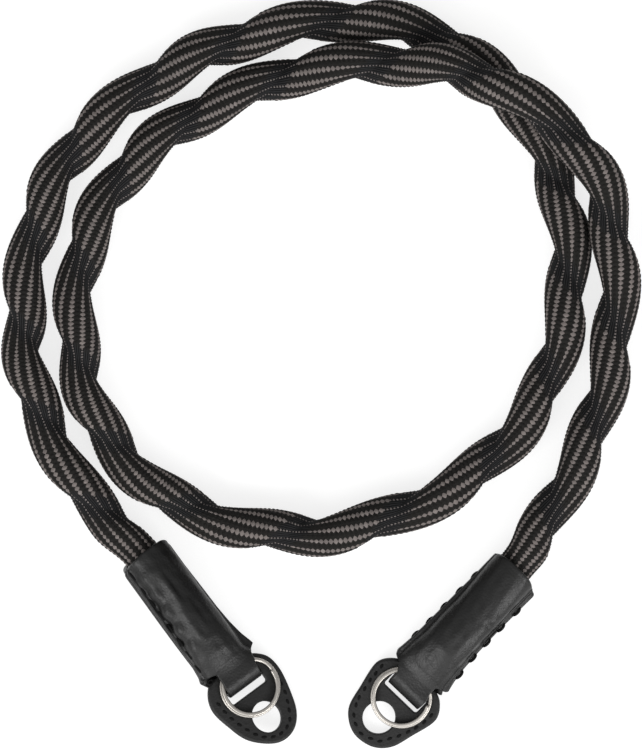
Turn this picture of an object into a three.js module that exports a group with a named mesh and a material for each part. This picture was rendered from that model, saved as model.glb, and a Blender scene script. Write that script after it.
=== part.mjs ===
// Camera neck strap of round woven cord with two leather ends, lying coiled on a flat surface.
// Millimetres, +Z up. The origin is on the surface, under the middle of the coil.
import * as THREE from 'three';

// Driving dimensions
const crestRadius = 6.75;
const grooveRadius = 3.8;
const sleevedRadius = 5.3;
const restHeight = crestRadius + 0.05;
const crestLean = 0.756;
const crestSharpness = 1.25;
const mouthFade = 0.45;
const stepsPerWave = 10;
const cordSides = 10;

const leather = 1.4;
const foldRadius = 2.6;
const foldCentre = foldRadius + leather;
const foldSteps = 6;
const barHeight = 4.1;
const acrossAngles = [-90, -67.5, -45, -22.5, 0, 22.5, 45, 67.5, 90];
const foldSpread = 0.94;

const tabThickness = 2.6;
const tabTop = 0.4;
const tabBevel = 0.4;
const outlineSteps = 34;
const holeSteps = 16;
const slotTop = 3.6;
const slotCorner = 0.8;
const cornerSteps = 3;

const ringRadius = 9;
const wireWidth = 1.6;
const wireThickness = 0.75;
const coilGap = 0.1;
const ringSeat = 0.3;
const coilTurns = 1.85;
const crossingStart = 0.86;
const crossingEnd = 0.97;
const ringSteps = 24;

// Where each leather end lies: its fold, its turn about the vertical, its lift off the surface,
// the lean of the neck and tab about the long axis, and the dip of the tab's tip
const leftEnd = {
  name: 'left', x: -21.9, y: -90.6, turn: 36, raise: 1.45, roll: 12, tilt: 3,
};
const rightEnd = {
  name: 'right', x: 23.7, y: -93.1, turn: -43.8, raise: 0, roll: 0, tilt: 4.5,
};

// Turns rows of plain numbers into objects with the named columns
function table(columns, rows) {
  return rows.map((row) => Object.fromEntries(columns.map((name, i) => [name, row[i]])));
}

// Route of the cord round the coil, one row for each wave, where its groove meets the outer side.
// Lift is the height above lying flat: the hump in rows 21 to 26 passes over rows 7 to 10.
const route = table(['x', 'y', 'lift'], [
  [-70, -32.1, 0.3],
  [-83.5, -4.8, 0],
  [-86.3, 19.7, 0],
  [-81.3, 47.4, 0],
  [-68, 69.7, 0],
  [-44.7, 87.9, 0],
  [-20.2, 98.3, 0],
  [11, 103.2, 0],
  [38.8, 95.1, 0],
  [59.6, 75.1, 0],
  [70, 49.7, 0],
  [71.4, 21.5, 0],
  [63.2, -6.6, 0],
  [43.8, -28.9, 0],
  [13.2, -43.6, 0],
  [-16.8, -45.3, 0],
  [-46, -34.5, 0],
  [-64.6, -13.4, 0],
  [-71, 11.3, 0],
  [-68, 39, 0],
  [-54.2, 61.7, 0],
  [-32.2, 77.6, 0.4],
  [-4.8, 87.8, 2.9],
  [25.4, 89.7, 9.2],
  [49.2, 84, 13.8],
  [75.4, 64.6, 11.6],
  [84.9, 37.9, 4.9],
  [84.5, 7.4, 0.7],
  [77.2, -19.5, 0.1],
  [63.2, -45.5, 0.4],
]);
const firstWave = -2;

// The cord inside each sleeve, two stations a wave apart, and how deep it reaches
const coreHeight = 7.35;
const cordInset = 24;
const leftCore = table(['along', 'across'], [[15.6, -1.1], [44.4, -1.2]]);
const rightCore = table(['along', 'across'], [[34.7, -1.1], [5.9, -1.2]]);
const leftMouth = 49.2;
const rightMouth = 50;

// The folded leather strip of each end, from the mouth of the sleeve to the neck.
// Along: distance from the fold. Left and right: edges. Centre, barrel and crown: middle, half
// width and rise of the bulge round the cord. Part: half the space between the sewn edges.
// Seam: height of the sewn plane. Roll: lean about the long axis, left edge up.
const stripColumns = ['along', 'left', 'right', 'centre', 'barrel', 'crown', 'part', 'seam', 'roll'];
const rightStrip = table(stripColumns, [
  [50, -9.3, 5.6, -1.9, 7.2, 5.7, 0.15, 7.25, 0],
  [48.6, -9.4, 6.9, -1.85, 7.2, 5.7, 0.15, 7.25, 0],
  [47, -9.4, 7.4, -1.75, 7.25, 5.75, 0.15, 7.3, 0],
  [40, -9.4, 7.2, -1.4, 7.25, 5.75, 0.15, 7.35, 0],
  [32, -9.6, 7, -1.1, 7.25, 5.75, 0.15, 7.35, 0],
  [24, -9.7, 7.1, -1.1, 7.25, 5.7, 0.15, 7.3, 0],
  [18, -9.8, 7.4, -1.1, 7.3, 5.3, 0.15, 7, 0],
  [13.5, -10, 8, -1.1, 7.6, 4.5, 0.15, 6.3, 0],
  [10, -10.3, 8.8, -1, 7.9, 3.4, 0.15, 5.5, 0],
  [8.3, -10.4, 8.6, -1, 7.9, 2.6, 0.15, 5, 0],
  [7.8, -7.6, 5.3, -1.1, 5.6, 0, 2.95, 4.45, 0],
  [5.8, -7.2, 5.3, -0.9, 5.6, 0, 2.8, 4.3, 0],
]);
const leftStrip = table(stripColumns, [
  [49.2, -9.6, 5.8, -1.9, 7.4, 5.75, 0.15, 5.3, 26],
  [47.8, -10.3, 6.1, -1.9, 7.4, 5.75, 0.15, 5.3, 26],
  [46, -10.6, 6.3, -1.9, 7.4, 5.75, 0.15, 5.3, 26],
  [39, -10.8, 6.4, -1.9, 7.4, 5.75, 0.15, 5.3, 26],
  [31, -10.9, 6.7, -1.7, 7.4, 5.75, 0.15, 5.4, 25],
  [24, -10.6, 6.9, -1.45, 7.4, 5.7, 0.15, 5.5, 22],
  [18, -10.1, 7.4, -1.2, 7.5, 5.3, 0.15, 5.4, 19],
  [13.5, -9.8, 8.1, -0.95, 7.7, 4.5, 0.15, 5.2, 16],
  [10, -9.8, 9, -0.7, 7.9, 3.4, 0.15, 4.8, 13],
  [8.3, -10.1, 9.1, -0.55, 7.9, 2.6, 0.15, 4.7, 12],
  [7.8, -5.5, 6.9, 0.7, 5.6, 0, 2.95, 4.45, 12],
  [5.8, -5.4, 6.7, 0.6, 5.6, 0, 2.8, 4.3, 12],
]);

// The eyelet tabs: outline from the right of the top edge round to its left, the eyelet and the
// slot that the neck passes through
const rightTab = {
  outline: table(['x', 'y'], [
    [6, 7.6], [8.8, 6.3], [11.3, 3.4], [11.9, 0], [10.2, -6.6], [8.3, -12.9], [4.5, -16.8],
    [-0.8, -18.1], [-5.2, -16.9], [-9, -13.2], [-10.7, -6.6], [-12.1, 0.2], [-11.5, 3.5],
    [-9, 6.3], [-6, 7.6],
  ]),
  eyelet: { x: -0.5, y: -9.5, wide: 9.3, tall: 9.9 },
  slot: { left: -6.4, right: 6.4, lip: -1.3 },
};
const leftTab = {
  outline: table(['x', 'y'], [
    [6, 7.6], [8.6, 6], [10.9, 3], [11.5, -2], [10.2, -9], [8.3, -14.5], [5, -18.1],
    [0.6, -19.2], [-3.8, -17.5], [-8.6, -12.6], [-10.9, -6], [-11.9, -0.8], [-11.1, 3],
    [-8.8, 6.2], [-6, 7.6],
  ]),
  eyelet: { x: 0.1, y: -10.6, wide: 8.4, tall: 9.4 },
  slot: { left: -6, right: 6.4, lip: -2.2 },
};
const rightFold = { left: -6, right: 6 };
const leftFold = { left: -5.6, right: 6 };

// Split rings: their middle on the tab and the angle at which the upper coil starts
const rightRing = { x: 0.1, y: -0.6, start: 28 };
const leftRing = { x: 1, y: -0.6, start: 2 };

const cordFinish = { color: 0x262524, roughness: 0.85, metalness: 0 };
const leatherFinish = { color: 0x2b2b2a, roughness: 0.5, metalness: 0 };
const steelFinish = { color: 0xc9c3bb, roughness: 0.28, metalness: 1 };

const radians = THREE.MathUtils.degToRad;
const acrossAxis = new THREE.Vector3(1, 0, 0);
const longAxis = new THREE.Vector3(0, 1, 0);
const vertical = new THREE.Vector3(0, 0, 1);

function named(name, geometry, finish) {
  const mesh = new THREE.Mesh(geometry, new THREE.MeshStandardMaterial(finish));
  mesh.name = name;
  return mesh;
}

// Signed volume of a closed mesh, positive where its faces point outwards
function enclosedVolume(points, faces) {
  let six = 0;
  for (let i = 0; i < faces.length; i += 3) {
    const [a, b, c] = [points[faces[i]], points[faces[i + 1]], points[faces[i + 2]]];
    six += a.dot(b.clone().cross(c));
  }
  return six / 6;
}

// Closed solid over a run of rings of points, its two ends covered strip by strip
function skin(rings) {
  const count = rings[0].length;
  const faces = [];
  for (let row = 0; row < rings.length - 1; row += 1) {
    for (let k = 0; k < count; k += 1) {
      const a = row * count + k;
      const b = row * count + (k + 1) % count;
      faces.push(a, b, a + count, b, b + count, a + count);
    }
  }
  const last = (rings.length - 1) * count;
  for (let k = 0; k < count / 2 - 1; k += 1) {
    const far = count - 1 - k;
    faces.push(k, far, far - 1, k, far - 1, k + 1);
    faces.push(last + k, last + far - 1, last + far, last + k, last + k + 1, last + far - 1);
  }
  const points = rings.flat();
  if (enclosedVolume(points, faces) < 0) {
    faces.reverse();
  }
  const geometry = new THREE.BufferGeometry().setFromPoints(points);
  geometry.setIndex(faces);
  geometry.computeVertexNormals();
  return geometry;
}

// A point of a leather end in the frame of the whole strap
function fromEnd(end, x, y, z) {
  const turned = new THREE.Vector3(x, y, z).applyAxisAngle(vertical, radians(end.turn));
  return turned.add(new THREE.Vector3(end.x, end.y, end.raise));
}

// The same for a point that leans about the long axis through the bar of the tab
function leaning(end, x, y, z, roll) {
  const lean = new THREE.Vector3(x, 0, z - barHeight).applyAxisAngle(longAxis, radians(roll));
  return fromEnd(end, lean.x, y, lean.z + barHeight);
}

// Radius of the cord: one groove winds round it, steep behind the groove and slow towards the next
function cordRadius(wave, angle) {
  const phase = THREE.MathUtils.euclideanModulo(wave + angle / (2 * Math.PI), 1);
  const rise = Math.sin(Math.PI * phase ** crestLean) ** crestSharpness;
  return grooveRadius + (crestRadius - grooveRadius) * rise;
}

// Section of the cord at a wave number, square to the route; calm is 1 where the waves are full
function cordRing(centreLine, share, wave, calm) {
  const middle = centreLine.getPoint(share);
  const ahead = centreLine.getTangent(share);
  const side = vertical.clone().cross(ahead).normalize();
  const up = ahead.clone().cross(side);
  const ring = [];
  for (let k = 0; k < cordSides; k += 1) {
    const angle = 2 * Math.PI * k / cordSides;
    const radius = THREE.MathUtils.lerp(sleevedRadius, cordRadius(wave, angle), calm);
    const spoke = side.clone().multiplyScalar(Math.cos(angle)).addScaledVector(up, Math.sin(angle));
    ring.push(middle.clone().addScaledVector(spoke, radius));
  }
  return ring;
}

function cord() {
  const inside = (end) => ({ along, across }) => fromEnd(end, across, along, coreHeight - end.raise);
  const stations = [
    ...leftCore.map(inside(leftEnd)),
    ...route.map(({ x, y, lift }) => new THREE.Vector3(x, y, restHeight + lift)),
    ...rightCore.map(inside(rightEnd)),
  ];
  const centreLine = new THREE.CatmullRomCurve3(stations, false, 'catmullrom', 0.5);
  const lastWave = firstWave + stations.length - 1;
  const waveLength = leftCore[1].along - leftCore[0].along;
  const leftMouthWave = firstWave + 1 + (leftMouth - leftCore[1].along) / waveLength;
  const rightMouthWave = lastWave - 1 - (rightMouth - rightCore[0].along) / waveLength;
  const firstStep = Math.round((leftMouthWave - cordInset / waveLength) * stepsPerWave);
  const lastStep = Math.round((rightMouthWave + cordInset / waveLength) * stepsPerWave);
  const { smoothstep } = THREE.MathUtils;
  const rings = [];
  for (let step = firstStep; step <= lastStep; step += 1) {
    const wave = step / stepsPerWave;
    const opening = smoothstep(wave, leftMouthWave, leftMouthWave + mouthFade);
    const closing = smoothstep(wave, rightMouthWave - mouthFade, rightMouthWave);
    const share = (wave - firstWave) / (lastWave - firstWave);
    rings.push(cordRing(centreLine, share, wave, opening * (1 - closing)));
  }
  return named('cord', skin(rings), cordFinish);
}

// One ring of points across the leather strip. Facing is 1 on the front layer and -1 on the back.
function stripRing(end, row, facing) {
  const thinning = leather * Math.min(1, row.crown / 2);
  const outer = [[row.left, 0]];
  const inner = [[row.left, 0]];
  for (const angle of acrossAngles.map(radians)) {
    const rise = row.crown * Math.cos(angle);
    outer.push([row.centre + row.barrel * Math.sin(angle), rise]);
    inner.push([row.centre + (row.barrel - thinning) * Math.sin(angle), rise]);
  }
  outer.push([row.right, 0]);
  inner.push([row.right, 0]);
  const place = (depth) => ([x, rise]) => {
    const height = row.seam + facing * (row.part + depth + rise);
    return leaning(end, x, row.along, height, row.roll);
  };
  return [...outer.map(place(leather)), ...inner.reverse().map(place(0))];
}

// The strip turns round the bar of the tab in a half circle, front layer to back layer
function foldRing(end, fold, degrees) {
  const bend = radians(degrees);
  const middle = (fold.left + fold.right) / 2;
  const half = (fold.right - fold.left) / 2;
  const shares = [-1, ...acrossAngles.map((angle) => foldSpread * Math.sin(radians(angle))), 1];
  const place = (radius) => (share) => {
    const along = foldCentre - radius * Math.sin(bend);
    return leaning(end, middle + half * share, along, barHeight + radius * Math.cos(bend), end.roll);
  };
  return [...shares.map(place(foldRadius + leather)), ...shares.reverse().map(place(foldRadius))];
}

function sleeve(end, strip, fold) {
  const front = strip.map((row) => stripRing(end, row, 1));
  const back = strip.map((row) => stripRing(end, row, -1)).reverse();
  const bends = [];
  for (let i = 0; i <= foldSteps; i += 1) {
    bends.push(foldRing(end, fold, 180 * i / foldSteps));
  }
  return named(`sleeve_${end.name}`, skin([...front, ...bends, ...back]), leatherFinish);
}

// Slot with rounded corners, up to the bar that the neck is folded round
function slotPath({ left, right, lip }) {
  const corners = [
    [left + slotCorner, lip + slotCorner, 180],
    [right - slotCorner, lip + slotCorner, 270],
    [right - slotCorner, slotTop - slotCorner, 0],
    [left + slotCorner, slotTop - slotCorner, 90],
  ];
  const points = [];
  for (const [x, y, from] of corners) {
    for (let i = 0; i <= cornerSteps; i += 1) {
      const angle = radians(from + 90 * i / cornerSteps);
      points.push(new THREE.Vector2(x + slotCorner * Math.cos(angle), y + slotCorner * Math.sin(angle)));
    }
  }
  return new THREE.Path(points);
}

function tab(end, { outline, eyelet, slot }) {
  const edge = new THREE.SplineCurve(outline.map(({ x, y }) => new THREE.Vector2(x, y)));
  const shape = new THREE.Shape(edge.getPoints(outlineSteps));
  const round = new THREE.EllipseCurve(eyelet.x, eyelet.y, eyelet.wide / 2, eyelet.tall / 2);
  shape.holes.push(new THREE.Path(round.getPoints(holeSteps).slice(0, -1)), slotPath(slot));
  const geometry = new THREE.ExtrudeGeometry(shape, {
    depth: tabThickness - 2 * tabBevel,
    bevelThickness: tabBevel,
    bevelSize: tabBevel,
    bevelOffset: -tabBevel,
    bevelSegments: 1,
  });
  geometry.translate(0, -foldCentre, tabTop - tabThickness + tabBevel);
  return named(`tab_${end.name}`, geometry, leatherFinish);
}

// Split ring: flat wire wound almost twice round, the upper coil crossing down to the lower one
function splitRing(end, { x, y, start }) {
  const lower = tabTop + ringSeat + wireThickness / 2;
  const drop = wireThickness + coilGap;
  const section = [
    [0.5, 0], [0.3, 0.5], [-0.3, 0.5], [-0.5, 0], [-0.3, -0.5], [0.3, -0.5],
  ];
  const rings = [];
  const count = Math.round(coilTurns * ringSteps);
  for (let i = 0; i <= count; i += 1) {
    const turns = coilTurns * i / count;
    const angle = radians(start - 360 * turns);
    const level = lower + drop * (1 - THREE.MathUtils.smoothstep(turns, crossingStart, crossingEnd));
    rings.push(section.map(([wide, high]) => {
      const radius = ringRadius + wireWidth * (wide - 0.5);
      return new THREE.Vector3(
        x + radius * Math.cos(angle),
        y - foldCentre + radius * Math.sin(angle),
        level + wireThickness * high,
      );
    }));
  }
  return named(`ring_${end.name}`, skin(rings), steelFinish);
}

// The tab and its ring hang together in the fold of the neck
function hanging(end, eyeletTab, ring) {
  const group = new THREE.Group().add(tab(end, eyeletTab), splitRing(end, ring));
  const lean = new THREE.Quaternion().setFromAxisAngle(longAxis, radians(end.roll));
  const dip = new THREE.Quaternion().setFromAxisAngle(acrossAxis, radians(end.tilt));
  const turn = new THREE.Quaternion().setFromAxisAngle(vertical, radians(end.turn));
  group.quaternion.copy(turn).multiply(lean).multiply(dip);
  group.position.copy(fromEnd(end, 0, foldCentre, barHeight));
  return group;
}

const strap = new THREE.Group();
strap.add(cord());
strap.add(sleeve(leftEnd, leftStrip, leftFold), hanging(leftEnd, leftTab, leftRing));
strap.add(sleeve(rightEnd, rightStrip, rightFold), hanging(rightEnd, rightTab, rightRing));

export default strap;
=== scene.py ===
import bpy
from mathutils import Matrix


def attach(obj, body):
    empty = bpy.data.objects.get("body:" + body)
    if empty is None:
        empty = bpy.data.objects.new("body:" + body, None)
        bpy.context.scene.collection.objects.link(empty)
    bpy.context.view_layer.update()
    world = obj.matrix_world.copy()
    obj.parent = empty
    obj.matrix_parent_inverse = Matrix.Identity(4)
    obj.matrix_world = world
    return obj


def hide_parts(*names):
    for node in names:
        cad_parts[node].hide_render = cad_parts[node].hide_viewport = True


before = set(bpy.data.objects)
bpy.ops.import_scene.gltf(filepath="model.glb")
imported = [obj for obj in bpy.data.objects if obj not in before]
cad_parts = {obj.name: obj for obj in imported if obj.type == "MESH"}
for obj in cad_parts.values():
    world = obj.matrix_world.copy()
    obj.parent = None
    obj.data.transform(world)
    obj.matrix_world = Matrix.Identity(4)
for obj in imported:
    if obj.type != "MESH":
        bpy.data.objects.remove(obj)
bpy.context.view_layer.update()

import math

import bmesh
import bpy
import numpy as np
from mathutils import Matrix, Vector

mm = 0.001
scene = bpy.context.scene
rng = np.random.default_rng(11)


def smoothstep(x, low, high):
    t = np.clip((x - low) / (high - low), 0, 1)
    return t * t * (3 - 2 * t)


def addPiece(name, mesh, material):
    piece = bpy.data.objects.new(name, mesh)
    scene.collection.objects.link(piece)
    mesh.materials.append(material)
    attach(piece, "root")
    return piece


def meshFromBmesh(name, bm, flatAxis=None):
    bmesh.ops.recalc_face_normals(bm, faces=bm.faces)
    for face in bm.faces:  # level faces stay flat, so that only rims and bevels are shaded round
        face.smooth = flatAxis is None or abs(face.normal.dot(flatAxis)) < 0.999
    mesh = bpy.data.meshes.new(name)
    bm.to_mesh(mesh)
    bm.free()
    return mesh


def meshFromArrays(name, points, faces, uv=None):
    mesh = bpy.data.meshes.new(name)
    mesh.from_pydata(points.reshape(-1, 3).tolist(), [], faces)
    mesh.polygons.foreach_set("use_smooth", [True] * len(mesh.polygons))
    if uv is not None:
        layer = mesh.uv_layers.new(name="weave")
        layer.data.foreach_set("uv", np.asarray(uv, np.float32).ravel())
    mesh.update()
    return mesh


def addAttribute(mesh, name, values):
    attribute = mesh.attributes.new(name, "FLOAT", "POINT")
    attribute.data.foreach_set("value", np.asarray(values, np.float32).ravel())


# Camera and light: straight above, as the photograph was taken
cameraLook = {"height": 1.5, "focusHeight": 0.0065, "frameHeight": 0.2175, "sensor": 24.0}
lens = bpy.data.cameras.new("camera")
lens.sensor_fit = "VERTICAL"
lens.sensor_height = cameraLook["sensor"]
lens.lens = cameraLook["sensor"] * cameraLook["height"] / cameraLook["frameHeight"]
lens.clip_end = 20
camera = bpy.data.objects.new("camera", lens)
camera.location = (0, 0, cameraLook["height"] + cameraLook["focusHeight"])
scene.collection.objects.link(camera)
scene.camera = camera
scene.view_settings.view_transform = "Standard"

lamps = {
    "rightKey": {"place": (0.85, -0.8, 0.72), "size": (0.7, 0.5), "watts": 6.5},
    "leftKey": {"place": (-0.75, -0.75, 0.95), "size": (0.7, 0.5), "watts": 6.5},
}
for name, look in lamps.items():
    data = bpy.data.lights.new(name, "AREA")
    data.shape = "RECTANGLE"
    data.size, data.size_y = look["size"]
    data.energy = look["watts"]
    lamp = bpy.data.objects.new(name, data)
    lamp.location = look["place"]
    lamp.rotation_euler = (-Vector(look["place"])).to_track_quat("-Z", "Y").to_euler()
    scene.collection.objects.link(lamp)

skyLook = {  # place in the sky and strength there: from front to behind, and from horizon to overhead
    "front": (-0.95, 1.9), "behind": (0.05, 0.5), "horizon": (0.1, 0.12), "overhead": (0.62, 1.0),
    "backwards": (0.05, 1, 0),
}
world = bpy.data.worlds.new("studio")
world.use_nodes = True
scene.world = world
sky = world.node_tree
place = sky.nodes.new("ShaderNodeTexCoord")
split = sky.nodes.new("ShaderNodeSeparateXYZ")
sky.links.new(place.outputs["Generated"], split.inputs[0])
depth = sky.nodes.new("ShaderNodeVectorMath")
depth.operation = "DOT_PRODUCT"
depth.inputs[1].default_value = skyLook["backwards"]
sky.links.new(place.outputs["Generated"], depth.inputs[0])
shades = []
skyRamps = ((depth.outputs["Value"], "front", "behind"), (split.outputs["Z"], "horizon", "overhead"))
for source, low, high in skyRamps:
    ramp = sky.nodes.new("ShaderNodeMapRange")
    ramp.interpolation_type = "SMOOTHSTEP"
    ramp.inputs["From Min"].default_value, ramp.inputs["To Min"].default_value = skyLook[low]
    ramp.inputs["From Max"].default_value, ramp.inputs["To Max"].default_value = skyLook[high]
    sky.links.new(source, ramp.inputs["Value"])
    shades.append(ramp.outputs[0])
both = sky.nodes.new("ShaderNodeMath")
both.operation = "MULTIPLY"
for socket, shade in zip(both.inputs, shades):
    sky.links.new(shade, socket)
sky.links.new(both.outputs[0], sky.nodes["Background"].inputs["Strength"])
sky.nodes["Background"].inputs["Color"].default_value = (1, 1, 1, 1)
print("camera and light done")


# Materials
def newMaterial(name, **sockets):
    material = bpy.data.materials.new(name)
    material.use_nodes = True
    shader = material.node_tree.nodes["Principled BSDF"]
    for socket, value in sockets.items():
        shader.inputs[socket.replace("_", " ")].default_value = value
    return material, material.node_tree, shader


def newGroup(name, inputs, outputs):
    group = bpy.data.node_groups.new(name, "ShaderNodeTree")
    for label, kind, value in inputs:
        socket = group.interface.new_socket(label, in_out="INPUT", socket_type=kind)
        if value is not None:
            socket.default_value = value
    for label, kind in outputs:
        group.interface.new_socket(label, in_out="OUTPUT", socket_type=kind)
    return group, group.nodes.new("NodeGroupInput"), group.nodes.new("NodeGroupOutput")


def useGroup(tree, group, **values):
    node = tree.nodes.new("ShaderNodeGroup")
    node.node_tree = group
    for socket, value in values.items():
        node.inputs[socket].default_value = value
    return node


def mathNode(tree, operation, first, second=None, clamp=False):
    node = tree.nodes.new("ShaderNodeMath")
    node.operation = operation
    node.use_clamp = clamp
    for socket, value in zip(node.inputs, (first, second)):
        if value is None:
            continue
        if isinstance(value, (int, float)):
            socket.default_value = value
        else:
            tree.links.new(value, socket)
    return node.outputs[0]


def mixColours(tree, factor, first, second):
    node = tree.nodes.new("ShaderNodeMix")
    node.data_type = "RGBA"
    for socket, value in zip((node.inputs[0], node.inputs[6], node.inputs[7]), (factor, first, second)):
        if isinstance(value, (int, float, tuple)):
            socket.default_value = value
        else:
            tree.links.new(value, socket)
    return node.outputs[2]


def buildGrain():  # pebbled leather grain, from the point it is given
    group, source, target = newGroup(
        "leatherGrain",
        [("Place", "NodeSocketVector", None), ("Pebbles", "NodeSocketFloat", 1500.0),
         ("Creases", "NodeSocketFloat", 260.0)],
        [("Height", "NodeSocketFloat"), ("Patches", "NodeSocketFloat")],
    )
    pebbles = group.nodes.new("ShaderNodeTexVoronoi")
    pebbles.feature = "SMOOTH_F1"
    pebbles.inputs["Smoothness"].default_value = 0.4
    creases = group.nodes.new("ShaderNodeTexNoise")
    creases.inputs["Detail"].default_value = 4
    patches = group.nodes.new("ShaderNodeTexNoise")
    patches.inputs["Scale"].default_value = 90
    patches.inputs["Detail"].default_value = 2
    for node, scale in ((pebbles, "Pebbles"), (creases, "Creases")):
        group.links.new(source.outputs[scale], node.inputs["Scale"])
    for node in (pebbles, creases, patches):
        group.links.new(source.outputs["Place"], node.inputs["Vector"])
    fine = mathNode(group, "MULTIPLY", pebbles.outputs["Distance"], 0.5)
    group.links.new(mathNode(group, "ADD", fine, creases.outputs[0]), target.inputs["Height"])
    group.links.new(patches.outputs[0], target.inputs["Patches"])
    return group


def buildFibre():  # fine yarn fibres along the second coordinate, with uneven dye
    group, source, target = newGroup(
        "yarnFibre",
        [("Place", "NodeSocketVector", None), ("Fibres", "NodeSocketFloat", 4.0),
         ("Dye", "NodeSocketFloat", 0.5)],
        [("Height", "NodeSocketFloat"), ("Shade", "NodeSocketFloat")],
    )
    fibres = group.nodes.new("ShaderNodeTexWave")
    fibres.bands_direction = "Y"
    fibres.inputs["Distortion"].default_value = 1.5
    fibres.inputs["Detail"].default_value = 1
    dye = group.nodes.new("ShaderNodeTexNoise")
    dye.inputs["Detail"].default_value = 2
    group.links.new(source.outputs["Fibres"], fibres.inputs["Scale"])
    group.links.new(source.outputs["Dye"], dye.inputs["Scale"])
    for node in (fibres, dye):
        group.links.new(source.outputs["Place"], node.inputs["Vector"])
    group.links.new(fibres.outputs["Fac"], target.inputs["Height"])
    group.links.new(dye.outputs[0], target.inputs["Shade"])
    return group


grainGroup = buildGrain()
fibreGroup = buildFibre()


def addBump(tree, shader, height, strength, distance):
    bump = tree.nodes.new("ShaderNodeBump")
    bump.inputs["Strength"].default_value = strength
    bump.inputs["Distance"].default_value = distance
    tree.links.new(height, bump.inputs["Height"])
    tree.links.new(bump.outputs[0], shader.inputs["Normal"])


leatherLooks = {
    "sleeveLeather": {
        "dark": (0.0025, 0.0025, 0.0025, 1), "light": (0.0055, 0.0054, 0.0051, 1),
        "roughness": 0.42, "bump": 0.9,
    },
    "tabLeather": {
        "dark": (0.0022, 0.0022, 0.0021, 1), "light": (0.005, 0.0049, 0.0047, 1),
        "roughness": 0.55, "bump": 1.0,
    },
}


def leatherMaterial(name, dark, light, roughness, bump):
    material, tree, shader = newMaterial(name, Specular_IOR_Level=0.45)
    place = tree.nodes.new("ShaderNodeTexCoord")
    grain = useGroup(tree, grainGroup)
    tree.links.new(place.outputs["Object"], grain.inputs["Place"])
    colour = mixColours(tree, grain.outputs["Patches"], dark, light)
    tree.links.new(colour, shader.inputs["Base Color"])
    rough = mathNode(tree, "MULTIPLY_ADD", grain.outputs["Height"], 0.2)
    rough.node.inputs[2].default_value = roughness - 0.12
    tree.links.new(rough, shader.inputs["Roughness"])
    addBump(tree, shader, grain.outputs["Height"], bump, 0.00012)
    return material


yarnLook = {  # darkest and lightest dye of the black yarn, its ribs in the groove and the grey yarn
    "black": ((0.012, 0.0114, 0.0106, 1), (0.0225, 0.0216, 0.0202, 1)),
    "ribs": ((0.0052, 0.0053, 0.0056, 1), (0.0235, 0.024, 0.025, 1)),
    "grey": ((0.172, 0.146, 0.138, 1), (0.25, 0.223, 0.212, 1)),
    "dimmed": (0.03, 0.026, 0.025, 1),
}


def darkYarnMaterial():
    material, tree, shader = newMaterial("darkYarn", Roughness=0.9, Specular_IOR_Level=0.1)
    weave = tree.nodes.new("ShaderNodeUVMap")
    weave.uv_map = "weave"
    fibre = useGroup(tree, fibreGroup, Fibres=1.3, Dye=0.35)
    tree.links.new(weave.outputs[0], fibre.inputs["Place"])
    gather = tree.nodes.new("ShaderNodeAttribute")
    gather.attribute_name = "gather"
    plain = mixColours(tree, fibre.outputs["Shade"], *yarnLook["black"])
    ribs = mixColours(tree, fibre.outputs["Height"], *yarnLook["ribs"])
    colour = mixColours(tree, gather.outputs["Fac"], plain, ribs)
    tree.links.new(colour, shader.inputs["Base Color"])
    addBump(tree, shader, fibre.outputs["Height"], 0.6, 0.00015)
    return material


def lightYarnMaterial():
    material, tree, shader = newMaterial("lightYarn", Roughness=0.85, Specular_IOR_Level=0.15)
    weave = tree.nodes.new("ShaderNodeUVMap")
    weave.uv_map = "weave"
    fibre = useGroup(tree, fibreGroup, Fibres=1.2, Dye=1.2)
    tree.links.new(weave.outputs[0], fibre.inputs["Place"])
    tone = tree.nodes.new("ShaderNodeAttribute")
    tone.attribute_name = "tone"
    dyed = mixColours(tree, fibre.outputs["Shade"], *yarnLook["grey"])
    colour = mixColours(tree, tone.outputs["Fac"], yarnLook["dimmed"], dyed)
    tree.links.new(colour, shader.inputs["Base Color"])
    addBump(tree, shader, fibre.outputs["Height"], 0.5, 0.00008)
    return material


def steelMaterial():
    material, tree, shader = newMaterial("ringSteel", Metallic=1.0)
    place = tree.nodes.new("ShaderNodeTexCoord")
    wear = tree.nodes.new("ShaderNodeTexNoise")
    wear.inputs["Scale"].default_value = 260
    tree.links.new(place.outputs["Object"], wear.inputs["Vector"])
    colour = mixColours(tree, wear.outputs[0], (0.46, 0.435, 0.4, 1), (0.6, 0.57, 0.53, 1))
    tree.links.new(colour, shader.inputs["Base Color"])
    rough = mathNode(tree, "MULTIPLY_ADD", wear.outputs[0], 0.12)
    rough.node.inputs[2].default_value = 0.32
    tree.links.new(rough, shader.inputs["Roughness"])
    return material


def threadMaterial():
    material, tree, shader = newMaterial("blackThread", Roughness=0.8, Specular_IOR_Level=0.08)
    place = tree.nodes.new("ShaderNodeTexCoord")
    twist = tree.nodes.new("ShaderNodeTexNoise")
    twist.inputs["Scale"].default_value = 3000
    tree.links.new(place.outputs["Object"], twist.inputs["Vector"])
    colour = mixColours(tree, twist.outputs[0], (0.003, 0.003, 0.003, 1), (0.012, 0.012, 0.012, 1))
    tree.links.new(colour, shader.inputs["Base Color"])
    addBump(tree, shader, twist.outputs[0], 0.5, 0.0001)
    return material


def floorMaterial():
    material, tree, shader = newMaterial("paleFloor", Roughness=0.9, Specular_IOR_Level=0.1)
    shader.inputs["Emission Color"].default_value = (1, 1, 1, 1)
    shader.inputs["Emission Strength"].default_value = 0.76
    place = tree.nodes.new("ShaderNodeTexCoord")
    cloud = tree.nodes.new("ShaderNodeTexNoise")
    cloud.inputs["Scale"].default_value = 3
    tree.links.new(place.outputs["Object"], cloud.inputs["Vector"])
    colour = mixColours(tree, cloud.outputs[0], (0.38, 0.38, 0.378, 1), (0.4, 0.4, 0.4, 1))
    tree.links.new(colour, shader.inputs["Base Color"])
    return material


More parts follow.
